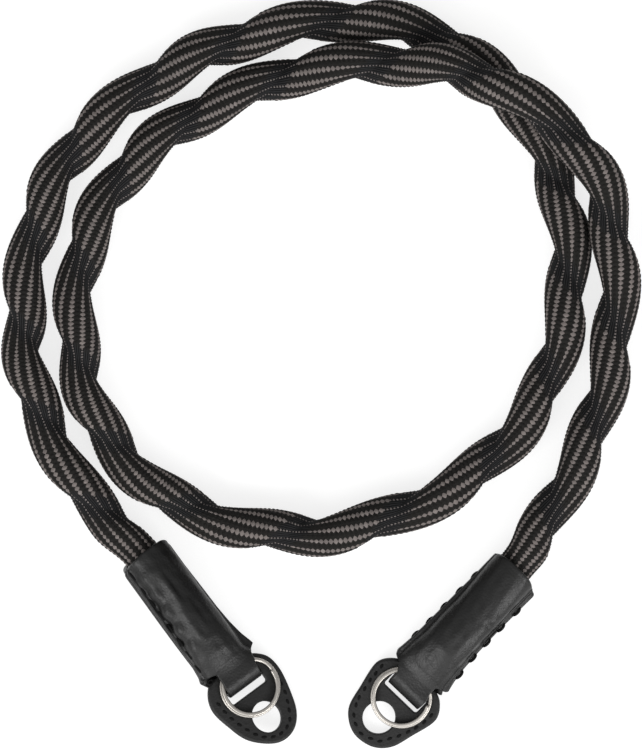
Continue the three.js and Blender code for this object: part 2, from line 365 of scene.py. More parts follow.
leather = leatherMaterial("sleeveLeather", **leatherLooks["sleeveLeather"])
tabLeather = leatherMaterial("tabLeather", **leatherLooks["tabLeather"])
darkYarn = darkYarnMaterial()
lightYarn = lightYarnMaterial()
steel = steelMaterial()
thread = threadMaterial()
print("materials done")

# Where each leather end lies, as in the part
leftEnd = {"name": "left", "x": -21.9, "y": -90.6, "turn": 36, "raise": 1.45, "roll": 12, "tilt": 3}
rightEnd = {"name": "right", "x": 23.7, "y": -93.1, "turn": -43.8, "raise": 0, "roll": 0, "tilt": 4.5}
barHeight = 4.1
foldCentre = 4.0


def fromEnd(end, points):  # millimetres beside the fold, to metres on the floor
    spin = np.array(Matrix.Rotation(math.radians(end["turn"]), 3, "Z"))
    return (points @ spin.T + np.array([end["x"], end["y"], end["raise"]])) * mm


def leaning(end, points, roll):  # the same, leaning about the long axis through the bar
    angle = np.radians(roll)
    x, y, z = points[..., 0], points[..., 1], points[..., 2] - barHeight
    across = x * np.cos(angle) + z * np.sin(angle)
    height = z * np.cos(angle) - x * np.sin(angle) + barHeight
    return fromEnd(end, np.stack([across, y, height], -1))


def hangingPlace(end):  # matrix of the tab and ring, which hang in the fold of the neck
    start = Vector(fromEnd(end, np.array([0, foldCentre, barHeight])))
    turn = Matrix.Rotation(math.radians(end["turn"]), 4, "Z")
    roll = Matrix.Rotation(math.radians(end["roll"]), 4, "Y")
    tilt = Matrix.Rotation(math.radians(end["tilt"]), 4, "X")
    return Matrix.Translation(start) @ turn @ roll @ tilt @ Matrix.Scale(mm, 4)


# Cord
cordLook = {
    "crest": 6.75, "groove": 3.8, "sleeved": 5.3, "restHeight": 6.8, "lean": 0.756, "sharpness": 1.25,
    "mouthFade": 0.45, "leftMouth": -0.83, "rightMouth": 29.47, "firstWave": -1.7, "lastWave": 30.3,
    "sides": 48, "ringsPerWave": 40, "stripes": 12, "stripeStart": 0.4, "drift": 0.2, "coreHeight": 7.35,
    "length": 0.926, "diameter": 0.0115, "waveLength": 28.8,
}
routeRows = [  # x, y and lift of each wave, in millimetres
    (-70, -32.1, 0.3), (-83.5, -4.8, 0), (-86.3, 19.7, 0), (-81.3, 47.4, 0), (-68, 69.7, 0),
    (-44.7, 87.9, 0), (-20.2, 98.3, 0), (11, 103.2, 0), (38.8, 95.1, 0), (59.6, 75.1, 0),
    (70, 49.7, 0), (71.4, 21.5, 0), (63.2, -6.6, 0), (43.8, -28.9, 0), (13.2, -43.6, 0),
    (-16.8, -45.3, 0), (-46, -34.5, 0), (-64.6, -13.4, 0), (-71, 11.3, 0), (-68, 39, 0),
    (-54.2, 61.7, 0), (-32.2, 77.6, 0.4), (-4.8, 87.8, 2.9), (25.4, 89.7, 9.2), (49.2, 84, 13.8),
    (75.4, 64.6, 11.6), (84.9, 37.9, 4.9), (84.5, 7.4, 0.7), (77.2, -19.5, 0.1), (63.2, -45.5, 0.4),
]
sleevedRows = {"left": [(15.6, -1.1), (44.4, -1.2)], "right": [(34.7, -1.1), (5.9, -1.2)]}  # along, across
firstStation = -2


def sleevedStations(end):
    height = cordLook["coreHeight"] - end["raise"]
    rows = sleevedRows[end["name"]]
    return [fromEnd(end, np.array([across, along, height])) / mm for along, across in rows]


def cordStations():
    route = [np.array([x, y, cordLook["restHeight"] + lift]) for x, y, lift in routeRows]
    whole = [*sleevedStations(leftEnd), *route, *sleevedStations(rightEnd)]
    return np.array([2 * whole[0] - whole[1], *whole, 2 * whole[-1] - whole[-2]])


stations = cordStations()


def centreLine(wave):  # points and directions of the cord's middle, in millimetres
    t = np.asarray(wave, float) - firstStation
    i = np.clip(np.floor(t).astype(int), 0, len(stations) - 4)
    f = (t - i)[..., None]
    a, b, c, d = (stations[i + k] for k in range(4))
    first, second, third = c - a, 2 * a - 5 * b + 4 * c - d, 3 * b - 3 * c + d - a
    point = b + 0.5 * (first * f + second * f ** 2 + third * f ** 3)
    ahead = 0.5 * (first + 2 * second * f + 3 * third * f ** 2)
    return point, ahead / np.linalg.norm(ahead, axis=-1, keepdims=True)


def cordPhase(wave, angle):
    return np.mod(wave + angle / (2 * math.pi), 1)


def stripeTwist(wave):  # how far the braid's stripes have turned round the cord
    return cordLook["stripeStart"] + cordLook["drift"] * wave


def cordRadius(wave, angle):
    look = cordLook
    rise = np.sin(math.pi * cordPhase(wave, angle) ** look["lean"]) ** look["sharpness"]
    wavy = look["groove"] + (look["crest"] - look["groove"]) * rise
    opening = smoothstep(wave, look["leftMouth"], look["leftMouth"] + look["mouthFade"])
    closing = smoothstep(wave, look["rightMouth"] - look["mouthFade"], look["rightMouth"])
    calm = opening * (1 - closing)
    return look["sleeved"] + (wavy - look["sleeved"]) * calm


def cordSurface(wave, angle, lift=0.0):  # points on the cord, in metres
    wave, angle, lift = np.broadcast_arrays(wave, angle, lift)
    middle, ahead = centreLine(wave)
    side = np.stack([-ahead[..., 1], ahead[..., 0], np.zeros_like(wave)], -1)
    side /= np.linalg.norm(side, axis=-1, keepdims=True)
    up = np.cross(ahead, side)
    spoke = side * np.cos(angle)[..., None] + up * np.sin(angle)[..., None]
    return (middle + spoke * (cordRadius(wave, angle) + lift)[..., None]) * mm


def makeCordTube():
    look = cordLook
    count = look["sides"]
    low, high = look["firstWave"], look["lastWave"]
    waves = np.linspace(low, high, round((high - low) * look["ringsPerWave"]) + 1)
    angles = np.arange(count) * 2 * math.pi / count
    grid = cordSurface(waves[:, None], angles[None, :])
    faces, uv = [], []
    perSide = look["stripes"] / count
    shift = stripeTwist(waves) * look["stripes"] / (2 * math.pi)
    for row in range(len(waves) - 1):
        for k in range(count):
            near, far = row * count, (row + 1) * count
            faces.append((near + k, near + (k + 1) % count, far + (k + 1) % count, far + k))
            for i, step in ((row, k), (row, k + 1), (row + 1, k + 1), (row + 1, k)):
                uv.append((waves[i] * 20, step * perSide - shift[i]))
    last = (len(waves) - 1) * count
    faces += [tuple(reversed(range(count))), tuple(range(last, last + count))]
    uv += [(0, 0)] * (2 * count)
    mesh = meshFromArrays("cord_tube", grid, faces, uv)
    phase = cordPhase(waves[:, None], angles[None, :])
    gather = 1 - smoothstep(phase, 0.1, 0.2) * (1 - smoothstep(phase, 0.78, 0.9))
    addAttribute(mesh, "gather", gather)
    piece = addPiece("cord_tube", mesh, darkYarn)
    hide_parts("cord")
    return piece, centreLine(waves)[0] * mm


# The braid: diamonds of light yarn in lengthwise stripes, dark ones between them,
# and fine chains in the groove
braidLook = {
    "firstDiamond": 0.17, "lastDiamond": 0.815, "diamonds": 15, "diamondWide": 0.64, "diamondLong": 1.12,
    "corner": 1.25, "rise": 0.17, "sink": 0.07, "firstDot": -0.165, "lastDot": 0.145, "dots": 11,
    "dotWide": 0.3, "dotLong": 0.9, "dotRise": 0.22, "darkWide": 0.62, "darkLong": 0.96, "darkRise": 0.22,
    "lightTone": 0.82, "dotTone": 0.75,
}


def stripeStations(stripe, phases):  # waves at which a stripe has the given phases, and its angles there
    look = cordLook
    start = stripe * 2 * math.pi / look["stripes"]
    turns = np.arange(-3, 34)[:, None] + np.asarray(phases)[None, :]
    begun = (start + look["stripeStart"]) / (2 * math.pi)
    waves = (turns - begun) / (1 + look["drift"] / (2 * math.pi))
    keep = (waves > look["leftMouth"] - 0.12) & (waves < look["rightMouth"] + 0.12)
    phases = np.broadcast_to(phases, turns.shape)[keep]
    return waves[keep], start + stripeTwist(waves[keep]), phases


def diamondField(waves, angles, wide, long, rise, sides, rings):
    corner = braidLook["corner"]
    turn = np.arange(sides) * 2 * math.pi / sides
    bow = (np.abs(np.cos(turn)) ** corner + np.abs(np.sin(turn)) ** corner) ** (-1 / corner)
    x = np.concatenate([[0]] + [bow * np.cos(turn) * share for share, height in rings])
    y = np.concatenate([[0]] + [bow * np.sin(turn) * share for share, height in rings])
    height = np.concatenate([[1]] + [np.full(sides, high) for share, high in rings])
    radius = cordRadius(waves, angles)
    dAngle = x[None, :] * (wide / 2 / radius)[:, None]
    dWave = y[None, :] * (long / 2 / cordLook["waveLength"])[:, None]
    lift = height[None, :] * rise[:, None] - braidLook["sink"] * (height[None, :] <= 0)
    points = cordSurface(waves[:, None] + dWave, angles[:, None] + dAngle + cordLook["drift"] * dWave, lift)
    count = points.shape[1]
    pattern = [(0, 1 + k, 1 + (k + 1) % sides) for k in range(sides)]
    for ring in range(len(rings) - 1):
        a, b = 1 + ring * sides, 1 + (ring + 1) * sides
        pattern += [(a + k, b + k, b + (k + 1) % sides, a + (k + 1) % sides) for k in range(sides)]
    flat = np.stack([x, y], -1)
    return points, pattern, count, flat


def fieldMesh(name, fields, tones):
    points, faces, uv, tone = [], [], [], []
    start = 0
    for (cloud, pattern, count, flat), shade in zip(fields, tones):
        for i in range(len(cloud)):
            base = start + i * count
            for face in pattern:
                faces.append(tuple(base + k for k in face))
                uv.extend((flat[k][0] + i * 0.37, flat[k][1] + i * 0.61) for k in face)
        points.append(cloud.reshape(-1, 3))
        tone.append(np.repeat(shade, count))
        start += len(cloud) * count
    mesh = meshFromArrays(name, np.concatenate(points), faces, uv)
    addAttribute(mesh, "tone", np.concatenate(tone))
    addAttribute(mesh, "gather", np.zeros(len(mesh.vertices)))
    return mesh


def everyStripe(offset, phases):  # waves, angles and phases of all stripes in one
    rows = [stripeStations(stripe + offset, phases) for stripe in range(cordLook["stripes"])]
    return [np.concatenate(column) for column in zip(*rows)]


def jitter(size, amount):
    return 1 + amount * rng.standard_normal(size)


def makeBraid():
    look = braidLook
    fullPhases = np.linspace(look["firstDiamond"], look["lastDiamond"], look["diamonds"])
    dotPhases = np.linspace(look["firstDot"], look["lastDot"], look["dots"])
    step = fullPhases[1] - fullPhases[0]
    pitch = step * cordLook["waveLength"]
    dotPitch = (dotPhases[1] - dotPhases[0]) * cordLook["waveLength"]
    spacing = 2 * math.pi / cordLook["stripes"]

    waves, angles, phases = everyStripe(0, fullPhases)
    growing = 0.86 + 0.14 * smoothstep(phases, 0.14, 0.22)
    taper = growing * (1 - 0.5 * smoothstep(phases, 0.5, 0.84))
    wide = look["diamondWide"] * spacing * cordRadius(waves, angles) * taper * jitter(len(waves), 0.03)
    long = np.full(len(waves), look["diamondLong"] * pitch) * jitter(len(waves), 0.02)
    lightField = diamondField(waves, angles, wide, long, look["rise"] * taper, 8, [(0.6, 0.8), (1, 0)])
    lightTone = np.clip(look["lightTone"] + 0.08 * rng.standard_normal(len(waves)), 0.5, 1)

    waves, angles, phases = everyStripe(0, dotPhases)
    wide = look["dotWide"] * spacing * cordRadius(waves, angles) * jitter(len(waves), 0.12)
    long = np.full(len(waves), look["dotLong"] * dotPitch)
    rise = np.full(len(waves), look["dotRise"])
    dotField = diamondField(waves, angles, wide, long, rise, 6, [(1, 0)])
    dotTone = np.clip(look["dotTone"] + 0.15 * rng.standard_normal(len(waves)), 0.3, 1)
    mesh = fieldMesh("cord_light_yarn", [lightField, dotField], [lightTone, dotTone])
    yarns = addPiece("cord_light_yarn", mesh, lightYarn)

    waves, angles, phases = everyStripe(0.5, fullPhases + step / 2)
    taper = 1 - 0.3 * smoothstep(phases, 0.6, 0.84)
    wide = look["darkWide"] * spacing * cordRadius(waves, angles) * taper
    long = np.full(len(waves), look["darkLong"] * pitch)
    darkField = diamondField(waves, angles, wide, long, look["darkRise"] * taper, 8, [(0.6, 0.7), (1, 0)])
    mesh = fieldMesh("cord_dark_yarn", [darkField], [np.zeros(len(waves))])
    plaits = addPiece("cord_dark_yarn", mesh, darkYarn)
    return [yarns, plaits]


cordTube, cordPath = makeCordTube()
braid = makeBraid()
print("cord done:", len(cordTube.data.polygons), [len(piece.data.polygons) for piece in braid])

# Leather sleeves: a strip each, folded over the bar of its tab and sewn along its edges round the cord
stripLook = {
    "leather": 1.4, "foldRadius": 2.6, "foldSpread": 0.94, "foldSteps": 19, "across": 44, "step": 0.5,
    "soften": 4, "mouthRound": 3, "shoulder": 9.5,
}
stripColumns = (
    "along", "left", "right", "underLeft", "underRight", "centre", "barrel", "crown", "part", "seam", "roll",
)
stripRows = {  # the edges of the front layer, those of the layer under it, and the bulge between them
    "right": [
        (50, -9.3, 5.6, -9.3, 5.6, -1.9, 7.2, 5.7, 0.15, 7.25, 0),
        (48.6, -9.4, 6.3, -9.4, 6.9, -1.85, 7.2, 5.7, 0.15, 7.25, 0),
        (47, -9.4, 6.6, -9.4, 7.4, -1.75, 7.25, 5.75, 0.15, 7.3, 0),
        (40, -9.4, 6.5, -9.4, 7.2, -1.4, 7.25, 5.75, 0.15, 7.35, 0),
        (32, -9.6, 6.4, -9.6, 7, -1.1, 7.25, 5.75, 0.15, 7.35, 0),
        (24, -9.7, 6.5, -9.7, 7.1, -1.1, 7.25, 5.7, 0.15, 7.3, 0),
        (18, -9.8, 6.8, -9.8, 7.4, -1.1, 7.3, 5.3, 0.15, 7, 0),
        (13.5, -10, 7.6, -10, 8, -1.1, 7.6, 4.5, 0.15, 6.3, 0),
        (10, -10.3, 8.8, -10.3, 8.8, -1, 7.9, 3.4, 0.15, 5.5, 0),
        (9.4, -10.4, 8.2, -10.4, 8.4, -1, 7.9, 3.1, 0.2, 5.3, 0),
        (8.9, -10.4, 7, -10.4, 7.6, -1, 7.7, 2.9, 0.3, 5.1, 0),
        (8.5, -10.3, 5.6, -10.3, 7.9, -2.2, 7, 2.65, 0.45, 5, 0),
        (7.9, -10, 5.3, -10, 8.2, -2.2, 6.9, 2.3, 0.7, 4.78, 0),
        (7.5, -9.8, 5.3, -9.8, 7.7, -2.1, 6.8, 2.02, 0.92, 4.65, 0),
        (7.2, -9.4, 5.3, -9.4, 5.5, -1.9, 6.7, 1.8, 1.13, 4.53, 0),
        (6.9, -8.8, 5.3, -8.8, 5.3, -1.7, 6.4, 1.55, 1.35, 4.44, 0),
        (6.5, -7.5, 5.3, -7.5, 5.3, -1.1, 5.6, 1.2, 1.63, 4.38, 0),
        (5.8, -7.2, 5.3, -7.2, 5.3, -0.9, 5.6, 0.75, 2.03, 4.28, 0),
        (4.8, -6.6, 5.6, -6.6, 5.6, -0.4, 5.6, 0.25, 2.4, 4.2, 0),
    ],
    "left": [
        (49.2, -9.6, 5.8, -9.6, 5.8, -1.9, 7.4, 5.75, 0.15, 5.3, 26),
        (47.8, -10, 6.1, -10, 6.1, -1.9, 7.4, 5.75, 0.15, 5.3, 26),
        (46, -10.3, 6.3, -10.3, 6.3, -1.9, 7.4, 5.75, 0.15, 5.3, 26),
        (39, -10.3, 6.4, -10.3, 6.4, -1.9, 7.4, 5.75, 0.15, 5.3, 26),
        (31, -10.3, 6.7, -10.3, 6.7, -1.7, 7.4, 5.75, 0.15, 5.4, 25),
        (24, -10.1, 6.9, -10.1, 6.9, -1.45, 7.4, 5.7, 0.15, 5.5, 22),
        (18, -9.8, 7.4, -9.8, 7.4, -1.2, 7.5, 5.3, 0.15, 5.4, 19),
        (13.5, -9.5, 8.1, -9.5, 8.1, -0.95, 7.7, 4.5, 0.15, 5.2, 16),
        (10, -9.7, 9.1, -9.7, 9.1, -0.7, 7.9, 3.4, 0.15, 4.8, 13),
        (9.2, -10, 9.2, -10, 9.2, -0.6, 7.9, 3.1, 0.2, 4.8, 12),
        (8.8, -9.9, 8.6, -10.1, 8.7, -0.6, 7.8, 2.85, 0.3, 4.7, 12),
        (8.4, -7.2, 8, -10.1, 8.1, 0.4, 6.7, 2.6, 0.45, 4.7, 12),
        (8, -5.6, 7.6, -9.9, 7.7, 0.9, 6.2, 2.3, 0.7, 4.6, 12),
        (7.4, -5.5, 7.1, -9.5, 7.2, 0.7, 5.8, 1.9, 1, 4.5, 12),
        (7.1, -5.5, 7, -9.3, 7, 0.7, 5.7, 1.68, 1.17, 4.46, 12),
        (6.5, -5.5, 6.8, -8.9, 6.8, 0.7, 5.6, 1.2, 1.57, 4.38, 12),
        (6, -5.4, 6.7, -8.6, 6.7, 0.6, 5.6, 0.85, 1.9, 4.3, 12),
        (5.6, -5.4, 6.7, -5.5, 6.7, 0.6, 5.6, 0.63, 2.1, 4.25, 12),
        (4.8, -5.4, 6.4, -5.4, 6.4, 0.5, 5.6, 0.25, 2.4, 4.2, 12),
    ],
}
# Row below which the bulge keeps its middle and half width, and these two
bulges = {"right": (9.2, -1, 7.9), "left": (9, -0.6, 7.9)}
foldEdges = {"right": (-6, 6), "left": (-5.6, 6)}
# Dents and ridges of each front: x, y, half width, half length, height
creases = {
    "right": [
        (3.4, 32, 1.2, 1.0, -0.45), (3.9, 34.2, 0.8, 1.6, 0.25), (-1.5, 12, 5, 4, -0.2),
        (-3.5, 30, 3.4, 16, -0.35), (0.5, 26, 1.6, 18, -0.2), (5.9, 31, 0.5, 19, -0.5),
    ],
    "left": [
        (-8.9, 42.3, 1.2, 1.9, 0.5), (-8.8, 37.4, 1.1, 1.4, 0.3), (-8.8, 30.9, 1.1, 1.6, 0.5),
        (-8.6, 24.6, 1.1, 1.6, 0.45), (-7.4, 18, 1.2, 2.2, 0.45), (-8.5, 33.9, 1.3, 1.2, -0.35),
        (-8.4, 27.7, 1.3, 1.2, -0.35), (-8, 21.3, 1.4, 1.2, -0.35), (-4.2, 44, 0.9, 6, 0.3),
        (-4.3, 35, 0.8, 5, 0.4), (-3.2, 27, 0.8, 5, 0.5), (-4.3, 20.5, 0.8, 2, 0.4),
        (-2.1, 26, 0.8, 5.5, 0.22), (-3.1, 30, 0.8, 8, -0.22), (-6.8, 33, 0.9, 8, -0.3),
        (-0.6, 27, 0.9, 6, -0.15), (-8.9, 43, 0.5, 7, -0.7), (-9.4, 22, 0.5, 16, -0.6),
        (7.2, 24, 1.5, 24, -0.8), (-6.5, 42.5, 2.2, 2, 0.4), (-4.6, 30, 1, 9, 0.3),
    ],
}


def stripProfile(name):
    rows = np.array(stripRows[name], float)[::-1]
    low, high = rows[0, 0], rows[-1, 0]
    near = rows[rows[:, 0] < stripLook["shoulder"], 0]
    steps = [np.arange(low, high, stripLook["step"]), near, [high - 0.15, high]]
    fine = np.unique(np.round(np.concatenate(steps), 3))
    table = {column: np.interp(fine, rows[:, 0], rows[:, i]) for i, column in enumerate(stripColumns)}
    return {column: values[::-1] for column, values in table.items()}


def acrossPlaces():
    angles = np.radians(np.linspace(-90, 90, stripLook["across"] + 1))
    return angles, np.array([0.0, 0.35, 0.7])


def creaseHeight(name, x, y):
    total = np.zeros(np.broadcast(x, y).shape)
    for cx, cy, wide, long, height in creases[name]:
        total += height * np.exp(-((x - cx) / wide) ** 2 - ((y - cy) / long) ** 2)
    unevenness = 0.05 * np.sin(1.3 * x + 0.7 * y + 1.0) * np.sin(0.9 * y - 0.5 * x)
    return total + unevenness + 0.04 * np.sin(0.45 * y + 2 * x)


def soften(points, rounds):
    for _ in range(rounds):
        inner = points[:, 1:-1]
        points[:, 1:-1] = inner + 0.25 * (points[:, :-2] - 2 * inner + points[:, 2:])
    return points


def layerSection(end, profile, facing):
    angles, shares = acrossPlaces()
    column = {key: values[:, None] for key, values in profile.items()}
    if facing < 0:
        column["left"], column["right"] = column["underLeft"], column["underRight"]
    leatherWall = stripLook["leather"]
    thinning = leatherWall * np.minimum(1, column["crown"] / 2)
    row, middle, half = bulges[end["name"]]
    middle = np.where(column["along"] < row, middle, column["centre"])
    half = np.where(column["along"] < row, half, column["barrel"])
    layers = []
    for depth, inward in ((leatherWall, 0), (0, thinning)):
        barrelX = column["centre"] + (column["barrel"] - inward) * np.sin(angles)
        inset = 0.3
        flangeL = column["left"] + inset + (barrelX[:, :1] - column["left"] - inset) * shares
        flangeR = column["right"] - inset + (barrelX[:, -1:] - column["right"] + inset) * shares
        x = np.concatenate([flangeL, barrelX, flangeR[:, ::-1]], 1)
        rise = column["crown"] * np.sqrt(np.clip(1 - ((x - middle) / (half - inward)) ** 2, 0, 1))
        z = column["part"] + depth + rise
        layer = soften(np.stack([x, z], -1), stripLook["soften"])
        layers.append(layer)
    return layers, column


def stripRing(end, profile, facing):
    (outer, inner), column = layerSection(end, profile, facing)
    name = end["name"]
    along = np.broadcast_to(column["along"], outer.shape[:2])
    if facing > 0:
        slopes = np.gradient(outer[..., 1], axis=1), np.gradient(outer[..., 0], axis=1)
        size = np.sqrt(slopes[0] ** 2 + slopes[1] ** 2) + 1e-6
        fade = smoothstep(along, 7, 11)
        lump = creaseHeight(name, outer[..., 0], along) * fade
        for layer in (outer, inner):
            layer[..., 0] -= lump * slopes[0] / size
            layer[..., 1] += lump * slopes[1] / size
    mouth = column["along"] - column["along"][0]
    pinch = 0.38 * np.exp(mouth / 0.18)
    outer[..., 1] -= pinch
    inner[..., 1] += pinch * 0.8

    def edge(side):
        limit = column[side][:, 0]
        out = -1 if side == "left" else 1
        k = 0 if side == "left" else -1
        top, bottom = outer[:, k, 1], inner[:, k, 1]
        rim = [(limit - out * 0.1, 0.83), (limit, 0.5), (limit - out * 0.1, 0.17)]
        return np.stack([np.stack([x, bottom + (top - bottom) * share], -1) for x, share in rim], 1)

    ring = np.concatenate([outer, edge("right"), inner[:, ::-1], edge("left")[:, ::-1]], 1)
    height = column["seam"] + facing * ring[..., 1]
    top = column["along"][0]
    aside = np.clip(np.abs(ring[..., 0] - column["centre"]) / column["barrel"], 0, 1)
    reach = stripLook["mouthRound"]
    rounding = reach * 0.5 * aside ** 4 * smoothstep(column["along"], top - reach, top)
    points = np.stack([ring[..., 0], column["along"] - rounding, height], -1)
    return leaning(end, points, column["roll"])


def foldRings(end):
    angles, shares = acrossPlaces()
    left, right = foldEdges[end["name"]]
    middle, half = (left + right) / 2, (right - left) / 2
    spread = stripLook["foldSpread"]
    barrel = middle + half * spread * np.sin(angles)
    flangeL = left + 0.3 + (barrel[0] - left - 0.3) * shares
    flangeR = right - 0.3 + (barrel[-1] - right + 0.3) * shares
    x = np.concatenate([flangeL, barrel, flangeR[::-1]])
    outerRadius, innerRadius = stripLook["foldRadius"] + stripLook["leather"], stripLook["foldRadius"]
    rimR = [(right - 0.1, 0.83), (right, 0.5), (right - 0.1, 0.17)]
    rimL = [(left + 0.1, 0.17), (left, 0.5), (left + 0.1, 0.83)]
    ringX = np.concatenate([x, [a for a, b in rimR], x[::-1], [a for a, b in rimL]])
    share = np.concatenate([np.ones(len(x)), [b for a, b in rimR], np.zeros(len(x)), [b for a, b in rimL]])
    radius = innerRadius + (outerRadius - innerRadius) * share
    bend = np.radians(np.linspace(0, 180, stripLook["foldSteps"]))[:, None]
    along = foldCentre - radius * np.sin(bend)
    points = np.stack([np.broadcast_to(ringX, along.shape), along, barHeight + radius * np.cos(bend)], -1)
    return leaning(end, points, end["roll"])


def makeSleeve(end):
    profile = stripProfile(end["name"])
    front = stripRing(end, profile, 1)
    back = stripRing(end, profile, -1)[::-1]
    rings = np.concatenate([front, foldRings(end), back])
    count = rings.shape[1]
    faces = []
    for row in range(len(rings) - 1):
        for k in range(count):
            a, b = row * count + k, row * count + (k + 1) % count
            faces.append((a, b, b + count, a + count))
    layer = stripLook["across"] + 7  # points across one layer: its bulge and both flanges
    for start in (0, (len(rings) - 1) * count):  # the cut ends of the strip
        cap = []
        for k in range(layer - 1):
            a, b = start + k, start + k + 1
            c, d = start + 2 * layer + 3 - 1 - k, start + 2 * layer + 3 - 2 - k
            cap.append((a, c, d, b))
        rimR = [start + layer - 1] + [start + layer + k for k in range(3)] + [start + layer + 3]
        rimL = [start + 2 * layer + 2] + [start + 2 * layer + 3 + k for k in range(3)] + [start]
        cap += [tuple(rimR), tuple(rimL)]
        faces += cap if start == 0 else [face[::-1] for face in cap]
    bm = bmesh.new()
    verts = [bm.verts.new(point) for point in rings.reshape(-1, 3)]
    for face in faces:
        bm.faces.new([verts[i] for i in face])
    mesh = meshFromBmesh("leather_" + end["name"], bm)
    piece = addPiece("leather_" + end["name"], mesh, leather)
    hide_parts("sleeve_" + end["name"])
    return piece


for end in (leftEnd, rightEnd):
    makeSleeve(end)
print("sleeves done")

# Tabs: two layers of leather with an eyelet, and a slot for the neck
tabLook = {
    "top": 0.4, "thickness": 2.6, "partLine": 0.06, "roundEdge": 0.34, "rimEdge": 0.8, "slotTop": 3.6,
    "slotCorner": 0.8, "outlineSteps": 84,
}
tabShapes = {
    "right": {
        "outline": [
            (6, 7.6), (8.8, 6.3), (11.3, 3.4), (11.9, 0), (10.2, -6.6), (8.3, -12.9),
            (4.5, -16.8), (-0.8, -18.1), (-5.2, -16.9), (-9, -13.2), (-10.7, -6.6), (-12.1, 0.2),
            (-11.5, 3.5), (-9, 6.3), (-6, 7.6),
        ],
        "eyelet": (-0.5, -9.5, 9.3, 9.9), "slot": (-6.4, 6.4, -1.3),
        "stitches": [
            (-10.3, 2), (-10.1, -0.7), (-9.9, -3.3), (-9.3, -6.2), (-8.7, -9.2), (-7.8, -11.4),
            (-6.2, -14), (-4, -15.5), (-1, -16.4), (2, -15.5), (4.5, -14.2), (6, -11.7),
            (7.4, -9.2), (8.5, -6.5), (9.3, -4), (9.9, -1.2), (10, 1.6),
        ],
    },
    "left": {
        "outline": [
            (6, 7.6), (8.6, 6), (10.9, 3), (11.5, -2), (10.2, -9), (8.3, -14.5),
            (5, -18.1), (0.6, -19.2), (-3.8, -17.5), (-8.6, -12.6), (-10.9, -6), (-11.9, -0.8),
            (-11.1, 3), (-8.8, 6.2), (-6, 7.6),
        ],
        "eyelet": (0.1, -10.6, 8.4, 9.4), "slot": (-6, 6.4, -2.2),
        "stitches": [
            (-9.4, 0.6), (-9.2, -2.2), (-8.7, -5), (-7.9, -7.7), (-6.9, -10.3), (-5.7, -12.8),
            (-4.1, -14.9), (-1.9, -16.4), (0.6, -17), (3.1, -16.5), (5.1, -15.2), (6.5, -12.9),
            (7.6, -10.6), (8.6, -8), (9.2, -5.2), (9.6, -2.4),
        ],
    },
}


def outlinePoint(points, share):  # the same spline as the part's, then straight back along the top
    t = share * len(points)
    if t > len(points) - 1:
        a, b = Vector(points[-1]), Vector(points[0])
        return a.lerp(b, t - (len(points) - 1))
    i = min(int(t), len(points) - 2)
    f = t - i
    a, b, c, d = (Vector(points[max(0, min(len(points) - 1, i + k))]) for k in (-1, 0, 1, 2))
    second, third = 2 * a - 5 * b + 4 * c - d, 3 * b - 3 * c + d - a
    return b + 0.5 * ((c - a) * f + second * f ** 2 + third * f ** 3)


def tabLayer(bm, shape, bottom, top):
    look = tabLook
    steps = look["outlineSteps"]
    rim = bmesh.ops.create_circle(bm, segments=steps, radius=1)["verts"]
    for i, vert in enumerate(rim):
        vert.co = Vector((*outlinePoint(shape["outline"], (i + 0.5) / steps), bottom))
    x, y, wide, tall = shape["eyelet"]
    place = Matrix.Translation((x, y, bottom)) @ Matrix.Diagonal((wide / 2, tall / 2, 1, 1))
    hole = bmesh.ops.create_circle(bm, segments=48, radius=1, matrix=place)["verts"]
    left, right, lip = shape["slot"]
    back = look["slotTop"]
    middle = Matrix.Translation(((left + right) / 2, (lip + back) / 2, bottom))
    place = middle @ Matrix.Diagonal(((right - left) / 2, (back - lip) / 2, 1, 1))
    slot = bmesh.ops.create_grid(bm, x_segments=1, y_segments=1, size=1, matrix=place)["verts"]
    rounded = bmesh.ops.bevel(bm, geom=slot, offset=look["slotCorner"], segments=5, profile=0.5,
                              affect="VERTICES", material=-1)
    slotVerts = rounded["verts"]
    bmesh.ops.delete(bm, geom=list({f for v in slotVerts for f in v.link_faces}), context="FACES_ONLY")
    ringVerts = set(rim) | set(hole) | set(slotVerts)
    edges = [e for e in bm.edges if e.verts[0] in ringVerts and e.verts[1] in ringVerts]
    around = {(round(v.co.x, 4), round(v.co.y, 4)) for v in rim}
    filled = bmesh.ops.triangle_fill(bm, use_beauty=True, use_dissolve=False, edges=edges)["geom"]
    sheet = [f for f in filled if isinstance(f, bmesh.types.BMFace)]
    made = bmesh.ops.extrude_face_region(bm, geom=sheet, use_keep_orig=True)["geom"]
    raised = [v for v in made if isinstance(v, bmesh.types.BMVert)]
    bmesh.ops.translate(bm, verts=raised, vec=(0, 0, top - bottom))
    return around


def onOuterRim(edge, around, height):
    places = [(round(vert.co.x, 4), round(vert.co.y, 4)) for vert in edge.verts]
    level = all(abs(vert.co.z - height) < 0.01 for vert in edge.verts)
    return level and all(place in around for place in places)


